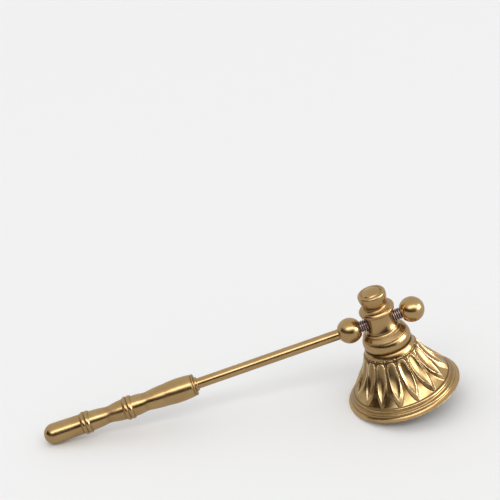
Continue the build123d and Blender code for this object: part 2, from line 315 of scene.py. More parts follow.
# What all the metals share. The marks' range starts well away from 0, where all the noise's
# octaves would make one line. The scratches' turn is in radians, and the bump's distance metres.
wear = {
    "patchDetail": 4.0, "patchRough": 0.6, "patchFrom": (0.35, 0.65),
    "smudgeDetail": 3.0, "smudgeRough": 0.55, "smudgeFrom": (0.3, 0.7),
    "markDetail": 4.0, "markFrom": (-150.0, 50.0), "markTo": (50.0, 250.0),
    "grainDetail": 2.0, "grainRough": 0.6, "scratchDetail": 2.0, "scratchRough": 0.5,
    "scratchTurn": (0.4, 0.9, 0.3), "scratchStretch": (1.0, 14.0, 14.0), "bumpDistance": 0.0001,
}


def metal(name, look):
    # Warm metal: patches of tone, darker and duller in recesses as painted shade with some grime,
    # brighter on crests marked worn as wear and a painted highlight, turning marks and fine
    # scratches
    material = bpy.data.materials.new(name)
    material.use_nodes = True
    tree = material.node_tree
    shader = tree.nodes["Principled BSDF"]
    shader.inputs["Metallic"].default_value = 1.0
    place = newNode(tree, "ShaderNodeTexCoord").outputs["Object"]
    recess, along = attributeOf(tree, "recess"), attributeOf(tree, "along")

    patches = noiseOf(tree, place, look["patchScale"], wear["patchDetail"], wear["patchRough"])
    faded = ranged(tree, patches, 0.0, 1.0, *wear["patchFrom"])
    tone = mixed(tree, look["bright"], look["deep"], faded)
    # The recess paints shade, with some grime, into grooves and creases
    colour = mixed(tree, tone, look["dark"], ranged(tree, recess, 0.0, look["shadeAndGrime"]))
    # Crests marked worn are brightened: partly polish, partly a painted highlight
    colour = mixed(tree, colour, look["wornAndHighlight"], attributeOf(tree, "wornAndHighlight"))
    tree.links.new(colour, shader.inputs["Base Color"])

    smudges = noiseOf(tree, place, look["smudgeScale"], wear["smudgeDetail"], wear["smudgeRough"])
    gloss = ranged(tree, smudges, *look["rough"], *wear["smudgeFrom"])
    dulled = summed(tree, gloss, ranged(tree, recess, 0.0, look["recessRough"]))
    tree.links.new(dulled, shader.inputs["Roughness"])

    marks = newNode(tree, "ShaderNodeTexNoise", noise_dimensions="1D",
                    Scale=look["markScale"], Detail=wear["markDetail"])
    tree.links.new(ranged(tree, along, *wear["markTo"], *wear["markFrom"]), marks.inputs["W"])
    grain = noiseOf(tree, place, look["grainScale"], wear["grainDetail"], wear["grainRough"])
    stretch = newNode(tree, "ShaderNodeMapping", Rotation=wear["scratchTurn"],
                      Scale=wear["scratchStretch"])
    tree.links.new(place, stretch.inputs["Vector"])
    scratches = noiseOf(tree, stretch.outputs["Vector"], look["scratchScale"],
                        wear["scratchDetail"], wear["scratchRough"])
    height = summed(tree, ranged(tree, marks.outputs["Fac"], 0.0, look["markHeight"]),
                    ranged(tree, grain, 0.0, look["grainHeight"]))
    height = summed(tree, height, ranged(tree, scratches, 0.0, look["scratchHeight"]))
    bump = newNode(tree, "ShaderNodeBump", Strength=look["bump"], Distance=wear["bumpDistance"])
    tree.links.new(height, bump.inputs["Height"])
    tree.links.new(bump.outputs["Normal"], shader.inputs["Normal"])
    return material


# Dark, with its amount, is painted shade in recesses with some grime; worn is the crests' colour,
# partly polish and partly a painted highlight
turnedLook = {
    "bright": (0.58, 0.39, 0.18), "deep": (0.50, 0.325, 0.142), "dark": (0.14, 0.072, 0.026),
    "wornAndHighlight": (0.72, 0.52, 0.27), "shadeAndGrime": 0.8, "rough": (0.19, 0.27), "recessRough": 0.14,
    "patchScale": 90, "smudgeScale": 160, "grainScale": 2600, "scratchScale": 420,
    "markScale": 7.0, "markHeight": 0.30, "grainHeight": 0.10, "scratchHeight": 0.12, "bump": 0.10,
}
castLook = {
    "bright": (0.58, 0.39, 0.18), "deep": (0.48, 0.31, 0.132), "dark": (0.095, 0.045, 0.014),
    "wornAndHighlight": (0.95, 0.76, 0.45), "shadeAndGrime": 0.92, "rough": (0.18, 0.27), "recessRough": 0.2,
    "patchScale": 110, "smudgeScale": 190, "grainScale": 1900, "scratchScale": 420,
    "markScale": 3.0, "markHeight": 0.05, "grainHeight": 0.30, "scratchHeight": 0.12, "bump": 0.12,
}
steelLook = {
    "bright": (0.84, 0.68, 0.63), "deep": (0.60, 0.46, 0.42), "dark": (0.06, 0.032, 0.026),
    "wornAndHighlight": (0.5, 0.45, 0.42), "shadeAndGrime": 0.9, "rough": (0.24, 0.34), "recessRough": 0.15,
    "patchScale": 300, "smudgeScale": 500, "grainScale": 3500, "scratchScale": 900,
    "markScale": 9.0, "markHeight": 0.2, "grainHeight": 0.3, "scratchHeight": 0.1, "bump": 0.15,
}
finishes = {
    "turned_brass": metal("turnedBrass", turnedLook),
    "cast_brass": metal("castBrass", castLook),
    "plain_steel": metal("dullSteel", steelLook),
}
print("materials made")


def settle(piece, node, body, slot):
    # Gives the piece its finish, hides the plain solid that it stands for and lets it ride
    piece.data.materials.append(finishes[slot])
    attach(piece, body)
    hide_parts(node)
    print(piece.name, "made,", len(piece.data.polygons), "faces")


# Rod and balls

rod = {"radius": 2.5, "back": 113.4, "front": 16.8, "edge": 0.3, "columns": 128, "rows": 90}
ball = {
    "radius": 6.0, "innerBack": 15.0, "outerFront": 15.3, "studR": 3.0, "mouth": 0.35,
    "innerSocket": 4.4, "outerSocket": 6.6, "rodSocket": 4.2, "soft": 0.1,
    "columns": 128, "rows": 170,
}


def makeRod():
    r, edge = rod["radius"], rod["edge"]
    back, tip = -rod["back"], -rod["front"]
    outline = polished([
        (back, 0), (back, r - edge), (back + edge, r),
        (tip - edge, r), (tip, r - edge), (tip, 0),
    ], rows=rod["rows"])
    return turned("rodBar", outline, rod["columns"], rodWay)


def makeBall(name, centre, side, studDeep, rodDeep):
    # A sphere with a socket for the stud, and for the inner ball one at its back for the rod. The
    # stud's socket faces forwards for side 1 and backwards for side -1.
    r, studR, rodR = ball["radius"], ball["studR"], rod["radius"]
    mouthR = studR + ball["mouth"]
    near = (r ** 2 - mouthR ** 2) ** 0.5
    stretches = [
        (near - studDeep, 0), (near - studDeep, studR), (near - ball["mouth"], studR),
    ]
    if rodDeep:
        back = (r ** 2 - rodR ** 2) ** 0.5
        stretches += [
            bow((near, mouthR), (0, r), (-back, rodR), count=160),
            (rodDeep - r, rodR), (rodDeep - r, 0),
        ]
    else:
        stretches.append(bow((near, mouthR), (0, r), (-r, 0), count=200))
    outline = polished(stretches, ball["soft"], ball["rows"])
    outline = np.column_stack([centre + side * outline[:, 0], outline[:, 1]])
    return turned(name, outline, ball["columns"], rodWay)


settle(makeRod(), "rod", "handle", "turned_brass")
innerBall = makeBall("innerBall", -ball["innerBack"], 1, ball["innerSocket"], ball["rodSocket"])
settle(innerBall, "inner_ball", "handle", "turned_brass")
outerBall = makeBall("outerBall", ball["outerFront"], -1, ball["outerSocket"], 0)
settle(outerBall, "outer_ball", "handle", "turned_brass")


# Stud: a threaded bar between the balls. Crest and flank are shares of half a pitch.

stud = {
    "radius": 3.0, "back": 13.3, "front": 15.8, "pitch": 1.0, "depth": 0.6, "crest": 0.12,
    "flank": 0.66, "chamfer": 0.5, "columns": 96, "rows": 520,
}


def makeStud():
    # The radius falls from crest to root and back once each pitch, and the place of the crest
    # moves one pitch for each turn round the axis
    distance = np.linspace(-stud["back"], stud["front"], stud["rows"])
    distance = np.r_[distance[0], distance, distance[-1]]
    angles = fullTurn(stud["columns"])
    phase = distance[:, None] / stud["pitch"] - angles / (2 * pi)
    wave = np.abs(2 * (phase % 1) - 1)
    cut = ramp(wave, stud["crest"], stud["flank"])
    toEnd = np.minimum(distance + stud["back"], stud["front"] - distance)[:, None]
    slope = np.clip(stud["chamfer"] - toEnd, 0, stud["chamfer"])
    radius = stud["radius"] - stud["depth"] * cut - slope
    radius[[0, -1]] = 0
    grid = roundGrid(distance[:, None], radius, angles, rodWay)
    # The thread's roots get recess, which the steel paints dark as shade
    values = {"along": np.broadcast_to(distance[:, None], radius.shape), "recess": cut}
    return buildMesh("threadedStud", grid, False, values)


settle(makeStud(), "swivel_stud", "handle", "plain_steel")


# Grip

grip = {
    "mouth": 91.4, "bossLength": 1.2, "bossR": 3.3, "mouthR": 5.2, "mouthEdge": 0.3,
    "mouthBand": 1.3, "mouthGroove": 0.3, "barrel": 13.3, "barrelR": 5.65, "peakShare": 0.68,
    "barrelBackR": 5.3, "frontTaper": 10.0, "frontWaistR": 4.3, "frontFlare": 6.4,
    "shoulderR": 4.95, "frontBeadR": 5.7, "beadWidth": 2.1, "beadGroove": 0.45,
    "rearFlare": 8.0, "rearWaistR": 3.8, "rearTaper": 9.0, "rearShoulderR": 4.7, "rearBeadR": 5.45,
    "bulb": 14.2, "bulbFrontR": 4.75, "bulbR": 5.0, "bow": 0.18, "boreR": 2.53, "bore": 22.0,
    "soft": 0.16, "bendWeight": 1.6, "columns": 144, "rows": 520,
    "grooveShade": (0.3, 0.8), "rootShade": (0.25, 0.6),
}


def beadPair(start, frontR, beadR, backR):
    # Two beads side by side, from the first one's front edge backwards
    w = grip["beadWidth"]
    groove = (start - w, beadR - grip["beadGroove"])
    return [
        bow((start, frontR), (start - w / 2, beadR), groove, count=24),
        bow(groove, (start - 3 * w / 2, beadR), (start - 2 * w, backR), count=24),
    ]


def makeGrip():
    g = grip
    mouth = -g["mouth"]
    top, boreEnd = mouth + g["bossLength"], mouth - g["bore"]
    band = mouth - g["mouthBand"]
    barrelBack = band - g["barrel"]
    waistA = barrelBack - g["frontTaper"]
    ringA = waistA - g["frontFlare"]
    ringAEnd = ringA - 2 * g["beadWidth"]
    waistB = ringAEnd - g["rearFlare"]
    ringB = waistB - g["rearTaper"]
    ringBEnd = ringB - 2 * g["beadWidth"]
    bulbAt = ringBEnd - g["bulb"]
    bulbPull = (-g["bulb"], 0)
    stretches = [
        (boreEnd, 0), (boreEnd, g["boreR"]), (top, g["boreR"]), (top, g["bossR"]),
        (mouth, g["bossR"]), (mouth, g["mouthR"] - g["mouthEdge"]),
        (mouth - g["mouthEdge"], g["mouthR"]), (band + 2 * g["mouthGroove"], g["mouthR"]),
        (band + g["mouthGroove"], g["mouthR"] - g["mouthGroove"]),
        bow((band, g["mouthR"]), (band - g["peakShare"] * g["barrel"], g["barrelR"]),
            (barrelBack, g["barrelBackR"])),
        eased([
            sagged((barrelBack, g["barrelBackR"]), (waistA, g["frontWaistR"]), -g["bow"]),
            sagged((waistA, g["frontWaistR"]), (ringA, g["shoulderR"]), -g["bow"]),
        ]),
        *beadPair(ringA, g["shoulderR"], g["frontBeadR"], g["shoulderR"]),
        eased([
            sagged((ringAEnd, g["shoulderR"]), (waistB, g["rearWaistR"]), -g["bow"]),
            sagged((waistB, g["rearWaistR"]), (ringB, g["rearShoulderR"]), -g["bow"]),
        ]),
        *beadPair(ringB, g["rearShoulderR"], g["rearBeadR"], g["bulbFrontR"]),
        sweepCurve((ringBEnd, g["bulbFrontR"]), bulbPull, (bulbAt, g["bulbR"]), bulbPull),
        quarter((bulbAt, g["bulbR"]), (bulbAt, 0), (bulbAt - g["bulbR"], 0)),
    ]
    outline = polished(stretches, g["soft"], g["rows"], weight=g["bendWeight"])
    # Painted shade, with some grime, in the grooves and at the beads' roots
    grooves = (ringA - g["beadWidth"], ringB - g["beadWidth"], mouth, band + g["mouthGroove"])
    shadeAndGrime = [(place, *g["grooveShade"]) for place in grooves]
    shadeAndGrime += [(place, *g["rootShade"]) for place in (ringA, ringAEnd, ringB, ringBEnd)]
    return turned("turnedGrip", outline, g["columns"], rodWay, shadeAndGrime=shadeAndGrime)


settle(makeGrip(), "grip", "handle", "turned_brass")


# Neck, turned about the bell's axis and bored across it for the stud

neck = {
    "coveR": 6.45, "coveAbove": 5.3, "coveTopR": 6.8, "coveThroat": 1.2, "coveBelow": 3.1,
    "coveFootR": 7.5, "step": 1.5, "stepR": 8.6, "ridge": 0.25, "stepBow": 0.2, "slope": 1.8,
    "footR": 10.5, "footEdge": 0.5, "flangeThick": 2.2, "flangeR": 8.4, "lipR": 8.1, "topR": 7.8,
    "lipRidge": 0.3, "lipRound": 0.5, "lipEase": 0.05, "bandGroove": 0.16, "bandNotch": 1.3,
    "notchHalf": 0.15, "waistRise": 1.7, "waistR": 5.5, "topPull": (0, -3.4),
    "waistPull": (2.4, 0), "knobTaper": 4.0, "taperBow": 0.1, "knobR": 6.65, "knobSide": 1.3,
    "knobRound": 1.2, "grooveR": 4.6, "groove": 0.38, "grooveInner": 0.8, "dome": 1.0,
    "domePull": (2.6, -2.4), "crownPull": (0, -3.0), "spigotR": 2.9, "spigotTip": -23.4,
    "spigotEdge": 0.4, "soft": 0.08, "columns": 192, "rows": 410,
    "waistShade": (1.4, 0.6), "underShade": (0.4, 0.5), "coveShade": (0.3, 0.5),
}

# The bore's edge is wider by mouth, and narrows by shares of it at the insets. The cove's rows lie
# between coveFrom and coveTo, and faces on the axis, nearer to the middle than clear, stay. Recess
# is how dark the bore's inside is painted, as shade.
bore = {
    "radius": 3.06, "mouth": 0.14, "insets": (0.05, 0.16, 0.4, 2.0),
    "shrinks": (0.5, 0.9, 1.0, 1.0), "clear": 1.0, "coveFrom": -4.0, "coveTo": 5.1,
    "coveLeastR": 6.0, "recess": 1.0,
}


def makeNeck():
    n = neck
    cove = -n["coveBelow"]
    step = cove - n["step"]
    slopeEnd = step - n["slope"]
    foot = slopeEnd - n["footEdge"]
    under, top = n["coveAbove"], n["coveAbove"] + n["flangeThick"]
    notch = under + n["bandNotch"]
    notchLow, notchHigh = notch - n["notchHalf"], notch + n["notchHalf"]
    waist = top + n["waistRise"]
    knobUnder = waist + n["knobTaper"]
    knobSide = knobUnder + n["knobSide"]
    knobTop = knobSide + n["knobRound"]
    shoulderR = n["knobR"] - n["knobRound"]
    innerR = n["grooveR"] - n["grooveInner"] * n["groove"]
    tip, lipTopR = n["spigotTip"], n["topR"] - n["lipRidge"]
    stretches = [
        (tip, 0), (tip, n["spigotR"] - n["spigotEdge"]), (tip + n["spigotEdge"], n["spigotR"]),
        (foot, n["spigotR"]), (foot, n["footR"]), (slopeEnd, n["footR"]),
        (step - n["ridge"], n["stepR"]),
        sagged((step, n["stepR"]), (cove - n["ridge"], n["coveFootR"]), n["stepBow"]),
        bow((cove, n["coveFootR"]), (n["coveThroat"], n["coveR"]), (under, n["coveTopR"]),
            count=80),
        bow((under, n["lipR"]), (notch - n["lipRound"], n["flangeR"] - n["lipEase"]),
            (notchLow, n["flangeR"])),
        (notch, n["flangeR"] - n["bandGroove"]), (notchHigh, n["flangeR"]), (top, n["topR"]),
        sweepCurve((top, lipTopR), n["topPull"], (waist, n["waistR"]), n["waistPull"]),
        sagged((waist, n["waistR"]), (knobUnder, n["knobR"]), -n["taperBow"]),
        quarter((knobSide, n["knobR"]), (knobSide, shoulderR), (knobTop, shoulderR)),
        (knobTop, n["grooveR"] + n["groove"]), (knobTop - n["groove"], n["grooveR"]),
        sweepCurve((knobTop, innerR), n["domePull"], (knobTop + n["dome"], 0), n["crownPull"]),
    ]
    outline = polished(stretches, n["soft"], n["rows"])
    # Painted shade, with some grime, at the waist, under the flange and at the cove's foot
    shadeAndGrime = ((waist, *n["waistShade"]), (under, *n["underShade"]), (cove, *n["coveShade"]))
    return outline, turned("turnedNeck", outline, n["columns"], bellWay, shadeAndGrime=shadeAndGrime)


def sideCodes(quads, count):
    # One whole number for each side of each face, whichever way round it runs
    ends = np.sort(np.stack([quads, np.roll(quads, -1, axis=1)], -1), axis=-1)
    return np.unique(ends[..., 0] * count + ends[..., 1])


def boreThrough(piece, outline):
    # Opens the neck for the stud: faces inside the bore's circle go, the points left on the edge
    # are drawn to the circle, and one tube joins each edge point to its mirror image
    mesh = piece.data
    points = np.zeros(len(mesh.vertices) * 3)
    mesh.vertices.foreach_get("co", points)
    points = (points.reshape(-1, 3) - swivel) / mm
    count = len(points)
    values = {key: np.zeros(count) for key in ("along", "recess")}
    for key, value in values.items():
        mesh.attributes[key].data.foreach_get("value", value)
    faces = [tuple(face.vertices) for face in mesh.polygons]
    quads = np.array([face for face in faces if len(face) == 4])
    fans = np.array([face for face in faces if len(face) == 3])

    # Edge points, each with its mirror image, and the sides of faces between them. The distances
    # a, b and c run along the rod, up the bell's axis and towards the front.
    a, b, c = points @ rodWay, points @ bellWay, points @ front
    mouthR = bore["radius"] + bore["mouth"]
    middle = np.hypot(b[quads].mean(1), c[quads].mean(1))
    gone = (middle < mouthR) & (np.abs(a[quads].mean(1)) > bore["clear"])
    edge = np.intersect1d(quads[gone], quads[~gone])
    near, far = edge[a[edge] < 0], edge[a[edge] > 0]
    apart = np.hypot(b[near][:, None] - b[far], c[near][:, None] - c[far])
    far = far[apart.argmin(1)]
    border = np.intersect1d(sideCodes(quads[gone], count), sideCodes(quads[~gone], count))
    border = np.column_stack(np.divmod(border, count))
    one, two = np.searchsorted(near, border[a[border[:, 0]] < 0]).T

    # A point of the circle lies on the cove: the square of its distance along the rod is the
    # cove's radius there squared, less its distance towards the front squared
    turn = np.arctan2(c[edge], b[edge])
    b[edge], c[edge] = mouthR * np.cos(turn), mouthR * np.sin(turn)
    cove = outline[(outline[:, 0] > bore["coveFrom"]) & (outline[:, 0] < bore["coveTo"])]
    coveR = np.interp(b[edge], *cove[cove[:, 1] > bore["coveLeastR"]].T)
    a[edge] = np.sign(a[edge]) * np.sqrt(coveR ** 2 - c[edge] ** 2)
    values["along"][edge] = b[edge]

    # The tube: rings at growing depth from the near edge, then the same towards the far edge
    turn = np.arctan2(c[near], b[near])
    insets = np.array(bore["insets"])
    radii = mouthR - np.array(bore["shrinks"]) * bore["mouth"]
    depths = [a[near] + inset for inset in insets] + [a[far] - inset for inset in insets[::-1]]
    rings = [
        np.column_stack([depth, r * np.cos(turn), r * np.sin(turn)])
        for depth, r in zip(depths, [*radii, *radii[::-1]])
    ]
    local = np.vstack([np.column_stack([a, b, c]), *rings])
    size = len(near)
    ids = [near, *[count + k * size + np.arange(size) for k in range(len(rings))], far]
    tube = [np.column_stack([p[one], p[two], q[two], q[one]]) for p, q in zip(ids, ids[1:])]

    kept = np.vstack([quads[~gone], *tube])
    used = np.unique(np.r_[kept.ravel(), fans.ravel()])
    place = np.zeros(len(local), int)
    place[used] = np.arange(len(used))
    world = swivel + mm * (local[used] @ np.array([rodWay, bellWay, front]))
    # The tube's points get full recess, so the bore's inside is painted dark as shade
    added = {"along": 0.0, "recess": bore["recess"]}
    values = {
        key: np.r_[value, np.full(len(local) - count, added[key])][used]
        for key, value in values.items()
    }
    fresh = smoothMesh(mesh.name, world, place[kept].tolist() + place[fans].tolist(), values)
    shell = bmesh.new()
    shell.from_mesh(fresh)
    bmesh.ops.recalc_face_normals(shell, faces=shell.faces)
    shell.to_mesh(fresh)
    shell.free()
    piece.data = fresh
    bpy.data.meshes.remove(mesh)


neckOutline, neckPiece = makeNeck()
boreThrough(neckPiece, neckOutline)
settle(neckPiece, "neck", "swinging_bell", "turned_brass")


# Collar ring, washer and nut

ring = {
    "top": -6.9, "height": 5.8, "bulgeR": 11.5, "topR": 10.55, "footR": 10.6, "lip": 0.3,
    "boreR": 3.03, "footShade": (0.4, 1.0), "topShade": (0.2, 1.0), "columns": 192, "rows": 170,
}
washer = {
    "top": -15.3, "thick": 1.6, "radius": 6.0, "boreR": 3.03, "soft": 0.1,
    "columns": 96, "rows": 60,
}
nut = {
    "top": -16.9, "height": 5.0, "acrossFlats": 10.0, "boreR": 2.95, "boreEdge": 0.3,
    "chamfer": 0.6, "coneSlope": 2.0, "underEdge": 0.15, "topEdge": 0.1, "sharpAngle": 0.6,
    "columns": 192, "coneRows": 8, "sideRows": 10,
}


def makeRing():
    r = ring
    top, foot = r["top"], r["top"] - r["height"]
    lip = top - r["lip"]
    outline = polished([
        (foot, r["boreR"]),
        bow((foot, r["footR"]), ((lip + foot) / 2, r["bulgeR"]), (lip, r["topR"])),
        (top, r["topR"]), (top, r["boreR"]), (foot, r["boreR"]),
    ], rows=r["rows"], closed=True)
    # Painted shade, with some grime, where the ring meets the bell and the neck
    shadeAndGrime = ((foot, *r["footShade"]), (top, *r["topShade"]))
    return turned("collarRing", outline, r["columns"], bellWay, True, shadeAndGrime)


def makeWasher():
    top, under = washer["top"], washer["top"] - washer["thick"]
    outline = polished([
        (under, washer["boreR"]), (under, washer["radius"]), (top, washer["radius"]),
        (top, washer["boreR"]), (under, washer["boreR"]),
    ], washer["soft"], washer["rows"], closed=True)
    return turned("flatWasher", outline, washer["columns"], bellWay, closed=True)


def makeNut():
    # A hexagon: the radius at an angle is half the flats over the cosine of the angle from the
    # nearest flat's middle, and the lower corners are limited by a cone
    n = nut
    half = n["acrossFlats"] / 2
    angles = fullTurn(n["columns"])
    fromFlat = (angles + pi / 6) % (pi / 3) - pi / 6
    top, under = n["top"], n["top"] - n["height"]
    coneEnd = under + n["chamfer"]
    heights = np.r_[
        np.linspace(under, coneEnd, n["coneRows"]),
        np.linspace(coneEnd, top, n["sideRows"])[1:],
    ]
    cone = half / np.cos(pi / 6) - n["chamfer"] + n["coneSlope"] * (heights - under)
    sides = np.minimum(half / np.cos(fromFlat), cone[:, None])
    hole = np.full(n["columns"], n["boreR"])
    distance = np.r_[under, under, heights, top, top, under + n["boreEdge"]][:, None]
    radius = np.vstack([
        hole + n["boreEdge"], sides[0] - n["underEdge"], sides,
        sides[-1] - n["topEdge"], hole, hole,
    ])
    values = {"along": np.broadcast_to(distance, radius.shape), "recess": np.zeros(radius.shape)}
    piece = buildMesh("hexNut", roundGrid(distance, radius, angles, bellWay), True, values)
    piece.data.set_sharp_from_angle(angle=n["sharpAngle"])  # in radians
    return piece


settle(makeRing(), "collar_ring", "swinging_bell", "turned_brass")
settle(makeWasher(), "bell_washer", "swinging_bell", "plain_steel")
settle(makeNut(), "bell_nut", "swinging_bell", "plain_steel")


# Bell. Quirk, beads and channel are the (height, radius) of their lower ends. Each shade band,
# painted shade and painted dark reflection with some grime, is a height, a reach and how much, and
# each station is a height where the rows' spacing changes.

bell = {
    "seat": -12.7, "crownR": 10.9, "boreR": 3.03, "crownThick": 2.6, "shoulderEnd": -16.0,
    "shoulderR": 12.4, "bulgeShare": 0.6, "skirtEnd": -34.0, "skirtR": 22.5,
    "midDownShare": 0.48, "midOutShare": 0.37, "quirk": (-34.4, 22.85),
    "upperBead": (-35.5, 23.9), "channel": (-36.6, 24.65), "lowerBead": (-37.7, 25.3),
    "beadBow": 0.3, "flare": 0.3, "rimEnd": -39.5, "rimR": 27.2, "rimEdge": 0.4, "rimWall": 2.4,
    "wall": 1.8, "soft": 0.1, "fineRows": 4000, "stations": (-18.2, -28.6, -34.3),
    "rows": (6, 44, 36, 46, 42, 21), "crownEdge": 0.3, "rimFlat": 0.05, "leafOverlap": 0.3,
    "outsideMargin": 1.0, "recessReach": 4, "shadeSpread": 1.4,
    "shadeAndGrime": ((-12.8, 0.35, 1.0), (-34.45, 0.2, 0.75), (-36.4, 0.35, 0.4), (-37.8, 0.3, 0.5)),
}

# Shares are of half the pitch round the bell. A pair named Ramp, Top or Foot is the height where
# a soft step starts and the length that it takes, negative where it runs downwards.
leaf = {
    "count": 16, "top": -16.15, "tip": -35.0, "topHalf": 2.0, "share": 0.84,
    "narrowsFrom": -26.8, "ogive": 1.9, "leastShare": 0.12, "leastCrest": 0.06,
    "plainShares": (0.62, 0.5), "wall": 0.26, "bevel": 1.8, "bevelRamp": (-22.0, -11.0),
    "rise": 0.55, "tipRise": 1.3, "hollowAt": (-31.0, -29.0, -25.0, -17.5),
    "hollow": (0.5, 0.8, 0.8, 0.6), "hollowHalf": (1.2, 1.9, 2.1, 1.4),
    "groove": 0.25, "grooveTop": (-16.15, -1.0), "grooveFoot": (-29.3, 3.0),
    "blade": 0.5, "bladeHalf": 0.24, "bladeTop": (-16.3, -0.8), "bladeFoot": (-28.3, 2.5),
    "archAway": 0.7, "archHeight": 0.32, "archHalf": 0.3, "archRamp": (-16.05, 0.4),
    "dotAt": -15.45, "dotR": 0.5, "dotHeight": 0.42,
    "columns": {"hollow": 7, "wall": 4, "gap": 5}, "archPoints": 60, "sidePoints": 400,
    "batches": 12,
}

# Where the bell is painted dark as shade, partly tarnish in the hollows, and painted bright on the
# crests, partly wear and partly a painted highlight. Dark starts where the relief is less than
# leafFull or gapFull, and is whole once it is less by over.
paintedShadeAndHighlight = {
    "wallRamp": (-31.5, 3.5), "wallTop": -15.55, "bandRamp": (-14.9, -0.3), "bandFoot": -17.65,
    "leafFull": 0.5, "gapFull": 0.26, "over": 0.24, "hollowShade": 0.4, "hollowRamp": (-31.0, 4.0),
    "crestHalf": 0.3, "crestRamp": (-16.2, -1.0),
}


def bellOutline():
    # The bell's section, once round: seat, shoulder, flank, moulded rim, inside and bore
    b = bell
    midR = b["shoulderR"] + b["midOutShare"] * (b["skirtR"] - b["shoulderR"])
    mid = b["shoulderEnd"] - b["midDownShare"] * (b["shoulderEnd"] - b["skirtEnd"])
    bulge = (b["seat"] - (1 - b["bulgeShare"]) * (b["seat"] - b["shoulderEnd"]),
             b["crownR"] + b["bulgeShare"] * (b["shoulderR"] - b["crownR"]))
    ceiling = b["seat"] - b["crownThick"]
    insideR = b["shoulderR"] - b["wall"]
    rimSide, rimUnderR = b["rimEnd"] + b["rimEdge"], b["rimR"] - b["rimEdge"]
    section = [
        (b["seat"], b["boreR"]),
        bow((b["seat"], b["crownR"]), bulge, (b["shoulderEnd"], b["shoulderR"])),
        bow((b["shoulderEnd"], b["shoulderR"]), (mid, midR), (b["skirtEnd"], b["skirtR"]),
            count=120),
        sagged(b["quirk"], b["upperBead"], -b["beadBow"]),
        sagged(b["upperBead"], b["channel"], b["beadBow"]),
        sagged(b["channel"], b["lowerBead"], -b["beadBow"]),
        sagged(b["lowerBead"], (rimSide, b["rimR"]), b["flare"]),
        quarter((rimSide, b["rimR"]), (rimSide, rimUnderR), (b["rimEnd"], rimUnderR)),
        (b["rimEnd"], b["rimR"] - b["rimWall"]),
        bow((b["skirtEnd"], b["skirtR"] - b["wall"]), (mid, midR - b["wall"]),
            (b["shoulderEnd"], insideR)),
        (ceiling, insideR), (ceiling, b["boreR"]), (b["seat"], b["boreR"]),
    ]
    fine = polished(section, b["soft"], b["fineRows"], closed=True, weight=0)
    height, radius = fine.T
    run = np.r_[0, np.cumsum(np.hypot(*np.diff(fine, axis=0).T))]

    # The stations as running lengths, where the outside passes each height
    outside = (run < run[-1] / 2) & (radius > b["crownR"] - b["outsideMargin"])
    rimInside = (height < b["rimEnd"] + b["rimFlat"]) & (radius < rimUnderR)
    stations = [
        0, run[np.argmax(radius > b["crownR"] - b["crownEdge"])],
        *[run[np.argmax(outside & (height < place))] for place in b["stations"]],
        run[np.argmax(rimInside)], run[-1],
    ]
    picks = np.concatenate([
        np.linspace(start, end, count, endpoint=False)
        for start, end, count in zip(stations, stations[1:], b["rows"])
    ])
    outline = np.column_stack([np.interp(picks, run, fine[:, k]) for k in (0, 1)])
    relieved = (picks >= stations[1]) & (picks < stations[4] + b["leafOverlap"])
    return outline, picks, relieved


def leafShare(height):
    # The leaf's half width as a share of half the pitch: even above, then an ogive to the tip
    down = np.clip((leaf["narrowsFrom"] - height) / (leaf["narrowsFrom"] - leaf["tip"]), 0, 1)
    return leaf["share"] * (1 - down ** leaf["ogive"])


def leafEdge(height, radius, run):
    # Half of a leaf's outline on the flank laid flat, as (across, along): a round top, then the
    # sides
    order = np.argsort(height)
    height, radius, run = height[order], radius[order], run[order]
    top = np.interp(leaf["top"], height, run)
    turn = np.linspace(0, pi / 2, leaf["archPoints"])
    arch = leaf["topHalf"] * np.column_stack([np.sin(turn), 1 - np.cos(turn)]) + [0, top]
    heights = np.linspace(leaf["top"] - leaf["topHalf"], leaf["tip"], leaf["sidePoints"])
    across = leafShare(heights) * pi / leaf["count"] * np.interp(heights, height, radius)
    side = np.column_stack([across, np.interp(heights, height, run)])
    return np.vstack([arch, side[side[:, 1] > arch[-1, 1]]])


def leafColumns(height, halfPitch, relieved, wallWidth):
    # The columns of one leaf and its gap, which crowd on the leaf's wall: 0 in the middle of the
    # leaf, and -1 and 1 in the middle of the gaps
    base = np.clip(leafShare(height), leaf["leastShare"], None)
    crest = np.clip(base - wallWidth / halfPitch, leaf["leastCrest"], None)
    base = np.where(relieved, base, leaf["plainShares"][0])[:, None]
    crest = np.where(relieved, crest, leaf["plainShares"][1])[:, None]
    hollow, wall, gap = (
        np.linspace(0, 1, leaf["columns"][key] + 1) for key in ("hollow", "wall", "gap")
    )
    right = np.hstack([
        np.sin(hollow * pi / 2) * crest, crest + wall[1:] * (base - crest),
        base + gap[1:] * (1 - base),
    ])
    return np.hstack([-right[:, :0:-1], right])[:, :-1]


